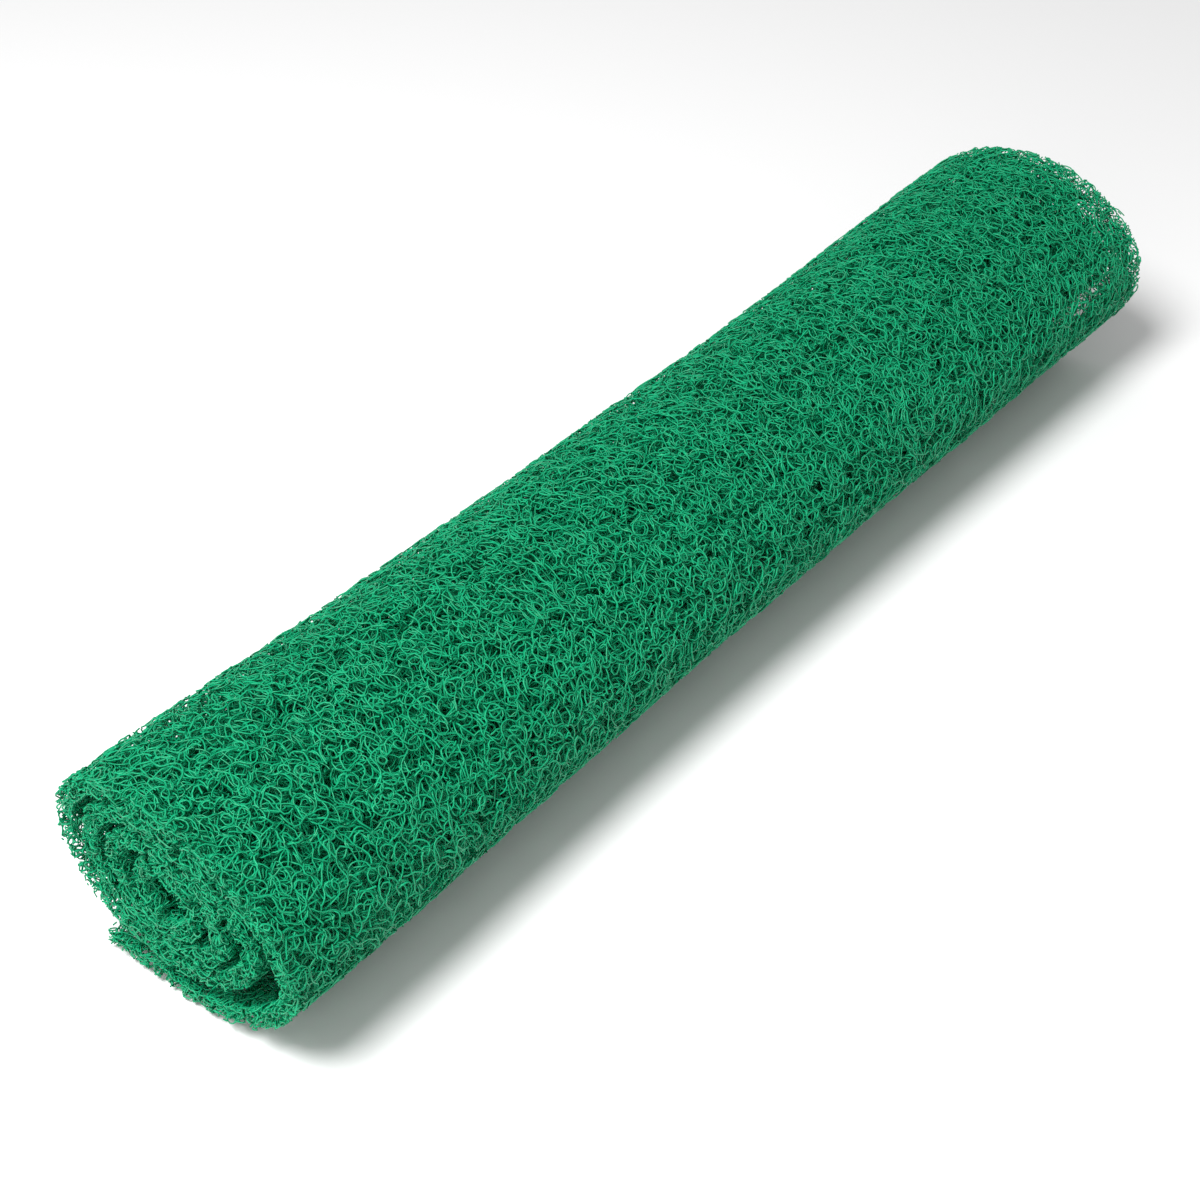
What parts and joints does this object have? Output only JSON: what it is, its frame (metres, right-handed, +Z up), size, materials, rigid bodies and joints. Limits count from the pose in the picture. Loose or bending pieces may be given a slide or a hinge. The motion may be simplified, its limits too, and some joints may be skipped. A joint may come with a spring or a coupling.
{
  "type": "practice putting mat",
  "caption": "Rolled sheet of unbacked green filament loop mat, held as hinged strips that unroll together until it lies flat.",
  "frame": {"origin": "middle of the roll's footprint, on the floor under it", "axes": "+X along the roll, +Y toward the flap's free edge, +Z up; the sheet unrolls toward -Y"},
  "size_m": [0.61, 0.1193, 0.1029],
  "materials": {
    "vinyl_loops": "satin"
  },
  "bodies": {
    "web_flap": {"web_flap": "vinyl_loops"},
    "web_strip_01": {"web_strip_01": "vinyl_loops"},
    "web_strip_02": {"web_strip_02": "vinyl_loops"},
    "web_strip_03": {"web_strip_03": "vinyl_loops"},
    "web_strip_04": {"web_strip_04": "vinyl_loops"},
    "web_strip_05": {"web_strip_05": "vinyl_loops"},
    "web_strip_06": {"web_strip_06": "vinyl_loops"},
    "web_strip_07": {"web_strip_07": "vinyl_loops"},
    "web_strip_08": {"web_strip_08": "vinyl_loops"},
    "web_strip_09": {"web_strip_09": "vinyl_loops"},
    "web_strip_10": {"web_strip_10": "vinyl_loops"},
    "web_strip_11": {"web_strip_11": "vinyl_loops"},
    "web_strip_12": {"web_strip_12": "vinyl_loops"},
    "web_strip_13": {"web_strip_13": "vinyl_loops"},
    "web_strip_14": {"web_strip_14": "vinyl_loops"},
    "web_strip_15": {"web_strip_15": "vinyl_loops"},
    "web_strip_16": {"web_strip_16": "vinyl_loops"},
    "web_strip_17": {"web_strip_17": "vinyl_loops"},
    "web_strip_18": {"web_strip_18": "vinyl_loops"},
    "web_strip_19": {"web_strip_19": "vinyl_loops"},
    "web_strip_20": {"web_strip_20": "vinyl_loops"},
    "web_strip_21": {"web_strip_21": "vinyl_loops"},
    "web_strip_22": {"web_strip_22": "vinyl_loops"},
    "web_strip_23": {"web_strip_23": "vinyl_loops"},
    "web_strip_24": {"web_strip_24": "vinyl_loops"},
    "web_strip_25": {"web_strip_25": "vinyl_loops"},
    "web_strip_26": {"web_strip_26": "vinyl_loops"},
    "web_strip_27": {"web_strip_27": "vinyl_loops"},
    "web_strip_28": {"web_strip_28": "vinyl_loops"},
    "web_strip_29": {"web_strip_29": "vinyl_loops"},
    "web_strip_30": {"web_strip_30": "vinyl_loops"},
    "web_strip_31": {"web_strip_31": "vinyl_loops"},
    "web_strip_32": {"web_strip_32": "vinyl_loops"},
    "web_strip_33": {"web_strip_33": "vinyl_loops"},
    "web_strip_34": {"web_strip_34": "vinyl_loops"},
    "web_strip_35": {"web_strip_35": "vinyl_loops"},
    "web_strip_36": {"web_strip_36": "vinyl_loops"},
    "web_strip_37": {"web_strip_37": "vinyl_loops"},
    "web_strip_38": {"web_strip_38": "vinyl_loops"}
  },
  "joints": [
    {"name": "unroll", "type": "hinge", "parent": "web_flap", "child": "web_strip_01", "pos_m": [0, -0.00231, 0.0045], "axis": [1, 0, 0], "range_deg": [0, 20.2]},
    {"name": "unroll_02", "type": "hinge", "parent": "web_strip_01", "child": "web_strip_02", "pos_m": [0, -0.02503, 0.01286], "axis": [1, 0, 0], "range_deg": [0, 16.96]},
    {"name": "unroll_03", "type": "hinge", "parent": "web_strip_02", "child": "web_strip_03", "pos_m": [0, -0.04393, 0.02718], "axis": [1, 0, 0], "range_deg": [0, 25.01]},
    {"name": "unroll_04", "type": "hinge", "parent": "web_strip_03", "child": "web_strip_04", "pos_m": [0, -0.05484, 0.04784], "axis": [1, 0, 0], "range_deg": [0, 43.41]},
    {"name": "unroll_05", "type": "hinge", "parent": "web_strip_04", "child": "web_strip_05", "pos_m": [0, -0.0487, 0.0699], "axis": [1, 0, 0], "range_deg": [0, 30.12]},
    {"name": "unroll_06", "type": "hinge", "parent": "web_strip_05", "child": "web_strip_06", "pos_m": [0, -0.03224, 0.08599], "axis": [1, 0, 0], "range_deg": [0, 19.35]},
    {"name": "unroll_07", "type": "hinge", "parent": "web_strip_06", "child": "web_strip_07", "pos_m": [0, -0.01144, 0.09568], "axis": [1, 0, 0], "range_deg": [0, 18.34]},
    {"name": "unroll_08", "type": "hinge", "parent": "web_strip_07", "child": "web_strip_08", "pos_m": [0, 0.01127, 0.09833], "axis": [1, 0, 0], "range_deg": [0, 20.9]},
    {"name": "unroll_09", "type": "hinge", "parent": "web_strip_08", "child": "web_strip_09", "pos_m": [0, 0.03321, 0.09276], "axis": [1, 0, 0], "range_deg": [0, 28.03]},
    {"name": "unroll_10", "type": "hinge", "parent": "web_strip_09", "child": "web_strip_10", "pos_m": [0, 0.04969, 0.07779], "axis": [1, 0, 0], "range_deg": [0, 33.56]},
    {"name": "unroll_11", "type": "hinge", "parent": "web_strip_10", "child": "web_strip_11", "pos_m": [0, 0.0551, 0.0564], "axis": [1, 0, 0], "range_deg": [0, 32]},
    {"name": "unroll_12", "type": "hinge", "parent": "web_strip_11", "child": "web_strip_12", "pos_m": [0, 0.04842, 0.0356], "axis": [1, 0, 0], "range_deg": [0, 33.48]},
    {"name": "unroll_13", "type": "hinge", "parent": "web_strip_12", "child": "web_strip_13", "pos_m": [0, 0.03158, 0.02209], "axis": [1, 0, 0], "range_deg": [0, 29.43]},
    {"name": "unroll_14", "type": "hinge", "parent": "web_strip_13", "child": "web_strip_14", "pos_m": [0, 0.01034, 0.01861], "axis": [1, 0, 0], "range_deg": [0, 22.65]},
    {"name": "unroll_15", "type": "hinge", "parent": "web_strip_14", "child": "web_strip_15", "pos_m": [0, -0.01046, 0.02354], "axis": [1, 0, 0], "range_deg": [0, 21.56]},
    {"name": "unroll_16", "type": "hinge", "parent": "web_strip_15", "child": "web_strip_16", "pos_m": [0, -0.02787, 0.03568], "axis": [1, 0, 0], "range_deg": [0, 30.57]},
    {"name": "unroll_17", "type": "hinge", "parent": "web_strip_16", "child": "web_strip_17", "pos_m": [0, -0.03647, 0.05448], "axis": [1, 0, 0], "range_deg": [0, 50.84]},
    {"name": "unroll_18", "type": "hinge", "parent": "web_strip_17", "child": "web_strip_18", "pos_m": [0, -0.0274, 0.07285], "axis": [1, 0, 0], "range_deg": [0, 29.44]},
    {"name": "unroll_19", "type": "hinge", "parent": "web_strip_18", "child": "web_strip_19", "pos_m": [0, -0.0105, 0.08438], "axis": [1, 0, 0], "range_deg": [0, 22.66]},
    {"name": "unroll_20", "type": "hinge", "parent": "web_strip_19", "child": "web_strip_20", "pos_m": [0, 0.00938, 0.08847], "axis": [1, 0, 0], "range_deg": [0, 26.33]},
    {"name": "unroll_21", "type": "hinge", "parent": "web_strip_20", "child": "web_strip_21", "pos_m": [0, 0.02876, 0.0834], "axis": [1, 0, 0], "range_deg": [0, 37.11]},
    {"name": "unroll_22", "type": "hinge", "parent": "web_strip_21", "child": "web_strip_22", "pos_m": [0, 0.04092, 0.06795], "axis": [1, 0, 0], "range_deg": [0, 37.85]},
    {"name": "unroll_23", "type": "hinge", "parent": "web_strip_22", "child": "web_strip_23", "pos_m": [0, 0.04105, 0.04849], "axis": [1, 0, 0], "range_deg": [0, 37.72]},
    {"name": "unroll_24", "type": "hinge", "parent": "web_strip_23", "child": "web_strip_24", "pos_m": [0, 0.02945, 0.03329], "axis": [1, 0, 0], "range_deg": [0, 38.1]},
    {"name": "unroll_25", "type": "hinge", "parent": "web_strip_24", "child": "web_strip_25", "pos_m": [0, 0.01107, 0.02851], "axis": [1, 0, 0], "range_deg": [0, 29.1]},
    {"name": "unroll_26", "type": "hinge", "parent": "web_strip_25", "child": "web_strip_26", "pos_m": [0, -0.00722, 0.03324], "axis": [1, 0, 0], "range_deg": [0, 28.34]},
    {"name": "unroll_27", "type": "hinge", "parent": "web_strip_26", "child": "web_strip_27", "pos_m": [0, -0.02082, 0.04587], "axis": [1, 0, 0], "range_deg": [0, 49.84]},
    {"name": "unroll_28", "type": "hinge", "parent": "web_strip_27", "child": "web_strip_28", "pos_m": [0, -0.02, 0.06345], "axis": [1, 0, 0], "range_deg": [0, 46.63]},
    {"name": "unroll_29", "type": "hinge", "parent": "web_strip_28", "child": "web_strip_29", "pos_m": [0, -0.00638, 0.07516], "axis": [1, 0, 0], "range_deg": [0, 30.29]},
    {"name": "unroll_30", "type": "hinge", "parent": "web_strip_29", "child": "web_strip_30", "pos_m": [0, 0.01108, 0.07837], "axis": [1, 0, 0], "range_deg": [0, 39.08]},
    {"name": "unroll_31", "type": "hinge", "parent": "web_strip_30", "child": "web_strip_31", "pos_m": [0, 0.02616, 0.07013], "axis": [1, 0, 0], "range_deg": [0, 50.22]},
    {"name": "unroll_32", "type": "hinge", "parent": "web_strip_31", "child": "web_strip_32", "pos_m": [0, 0.02943, 0.05352], "axis": [1, 0, 0], "range_deg": [0, 48.18]},
    {"name": "unroll_33", "type": "hinge", "parent": "web_strip_32", "child": "web_strip_33", "pos_m": [0, 0.01951, 0.04038], "axis": [1, 0, 0], "range_deg": [0, 50.43]},
    {"name": "unroll_34", "type": "hinge", "parent": "web_strip_33", "child": "web_strip_34", "pos_m": [0, 0.00324, 0.03967], "axis": [1, 0, 0], "range_deg": [0, 42.75]},
    {"name": "unroll_35", "type": "hinge", "parent": "web_strip_34", "child": "web_strip_35", "pos_m": [0, -0.00892, 0.04995], "axis": [1, 0, 0], "range_deg": [0, 67.73]},
    {"name": "unroll_36", "type": "hinge", "parent": "web_strip_35", "child": "web_strip_36", "pos_m": [0, -0.0043, 0.06419], "axis": [1, 0, 0], "range_deg": [0, 56.65]},
    {"name": "unroll_37", "type": "hinge", "parent": "web_strip_36", "child": "web_strip_37", "pos_m": [0, 0.01014, 0.06817], "axis": [1, 0, 0], "range_deg": [0, 75.03]},
    {"name": "unroll_38", "type": "hinge", "parent": "web_strip_37", "child": "web_strip_38", "pos_m": [0, 0.01714, 0.05623], "axis": [1, 0, 0], "range_deg": [0, 74.47]}
  ],
  "couplings": [
    {"joint": "unroll_02", "follows": "unroll", "ratio": 0.8389},
    {"joint": "unroll_03", "follows": "unroll", "ratio": 1.2378},
    {"joint": "unroll_04", "follows": "unroll", "ratio": 2.1485},
    {"joint": "unroll_05", "follows": "unroll", "ratio": 1.4904},
    {"joint": "unroll_06", "follows": "unroll", "ratio": 0.9574},
    {"joint": "unroll_07", "follows": "unroll", "ratio": 0.9075},
    {"joint": "unroll_08", "follows": "unroll", "ratio": 1.0342},
    {"joint": "unroll_09", "follows": "unroll", "ratio": 1.387},
    {"joint": "unroll_10", "follows": "unroll", "ratio": 1.6609},
    {"joint": "unroll_11", "follows": "unroll", "ratio": 1.5839},
    {"joint": "unroll_12", "follows": "unroll", "ratio": 1.6567},
    {"joint": "unroll_13", "follows": "unroll", "ratio": 1.4562},
    {"joint": "unroll_14", "follows": "unroll", "ratio": 1.1206},
    {"joint": "unroll_15", "follows": "unroll", "ratio": 1.0666},
    {"joint": "unroll_16", "follows": "unroll", "ratio": 1.5128},
    {"joint": "unroll_17", "follows": "unroll", "ratio": 2.5162},
    {"joint": "unroll_18", "follows": "unroll", "ratio": 1.457},
    {"joint": "unroll_19", "follows": "unroll", "ratio": 1.1212},
    {"joint": "unroll_20", "follows": "unroll", "ratio": 1.3031},
    {"joint": "unroll_21", "follows": "unroll", "ratio": 1.8364},
    {"joint": "unroll_22", "follows": "unroll", "ratio": 1.8731},
    {"joint": "unroll_23", "follows": "unroll", "ratio": 1.8669},
    {"joint": "unroll_24", "follows": "unroll", "ratio": 1.8854},
    {"joint": "unroll_25", "follows": "unroll", "ratio": 1.4403},
    {"joint": "unroll_26", "follows": "unroll", "ratio": 1.4024},
    {"joint": "unroll_27", "follows": "unroll", "ratio": 2.4667},
    {"joint": "unroll_28", "follows": "unroll", "ratio": 2.3079},
    {"joint": "unroll_29", "follows": "unroll", "ratio": 1.499},
    {"joint": "unroll_30", "follows": "unroll", "ratio": 1.934},
    {"joint": "unroll_31", "follows": "unroll", "ratio": 2.4857},
    {"joint": "unroll_32", "follows": "unroll", "ratio": 2.3848},
    {"joint": "unroll_33", "follows": "unroll", "ratio": 2.496},
    {"joint": "unroll_34", "follows": "unroll", "ratio": 2.1156},
    {"joint": "unroll_35", "follows": "unroll", "ratio": 3.3525},
    {"joint": "unroll_36", "follows": "unroll", "ratio": 2.804},
    {"joint": "unroll_37", "follows": "unroll", "ratio": 3.7138},
    {"joint": "unroll_38", "follows": "unroll", "ratio": 3.6863}
  ]
}
